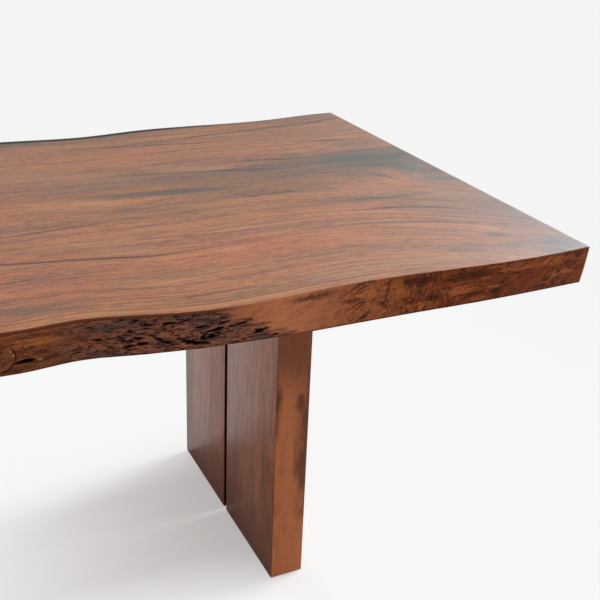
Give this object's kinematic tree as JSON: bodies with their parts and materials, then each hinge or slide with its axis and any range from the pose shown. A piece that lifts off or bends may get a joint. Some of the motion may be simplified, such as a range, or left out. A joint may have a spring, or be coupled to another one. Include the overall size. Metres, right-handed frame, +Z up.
{
  "type": "live edge dining table",
  "caption": "Dining table: a thick wooden slab with live long edges on two legs, each a pair of broad planks with a narrow gap between them, held by let-in steel plates.",
  "frame": {"origin": "on the floor, under the middle of the top", "axes": "+X along the table to its right end, +Y to the back, +Z up; the front faces -Y"},
  "size_m": [2.2, 0.997, 0.76],
  "materials": {
    "slab_wood": "satin lacquer",
    "leg_wood": "satin lacquer",
    "dowel_wood": "bare",
    "black_steel": "powder coat",
    "zinc_steel": "zinc plated",
    "brass": "plain",
    "glide_plastic": "moulded"
  },
  "bodies": {
    "root": {"slab_top": "slab_wood", "left_channel": "black_steel", "left_channel_bolts": "zinc_steel", "left_channel_washers": "zinc_steel", "left_channel_inserts": "brass", "centre_channel": "black_steel", "centre_channel_bolts": "zinc_steel", "centre_channel_washers": "zinc_steel", "centre_channel_inserts": "brass", "right_channel": "black_steel", "right_channel_bolts": "zinc_steel", "right_channel_washers": "zinc_steel", "right_channel_inserts": "brass", "left_leg_plate": "black_steel", "left_leg_plate_bolts": "zinc_steel", "left_leg_plate_washers": "zinc_steel", "left_leg_plate_inserts": "brass", "left_leg_front_plank": "leg_wood", "left_leg_front_plank_screws": "zinc_steel", "left_leg_front_plank_front_glide": "glide_plastic", "left_leg_front_plank_rear_glide": "glide_plastic", "left_leg_front_plank_glide_screws": "zinc_steel", "left_leg_rear_plank": "leg_wood", "left_leg_rear_plank_screws": "zinc_steel", "left_leg_rear_plank_front_glide": "glide_plastic", "left_leg_rear_plank_rear_glide": "glide_plastic", "left_leg_rear_plank_glide_screws": "zinc_steel", "left_leg_lower_dowel": "dowel_wood", "left_leg_middle_dowel": "dowel_wood", "left_leg_upper_dowel": "dowel_wood", "right_leg_plate": "black_steel", "right_leg_plate_bolts": "zinc_steel", "right_leg_plate_washers": "zinc_steel", "right_leg_plate_inserts": "brass", "right_leg_front_plank": "leg_wood", "right_leg_front_plank_screws": "zinc_steel", "right_leg_front_plank_front_glide": "glide_plastic", "right_leg_front_plank_rear_glide": "glide_plastic", "right_leg_front_plank_glide_screws": "zinc_steel", "right_leg_rear_plank": "leg_wood", "right_leg_rear_plank_screws": "zinc_steel", "right_leg_rear_plank_front_glide": "glide_plastic", "right_leg_rear_plank_rear_glide": "glide_plastic", "right_leg_rear_plank_glide_screws": "zinc_steel", "right_leg_lower_dowel": "dowel_wood", "right_leg_middle_dowel": "dowel_wood", "right_leg_upper_dowel": "dowel_wood"}
  },
  "joints": []
}
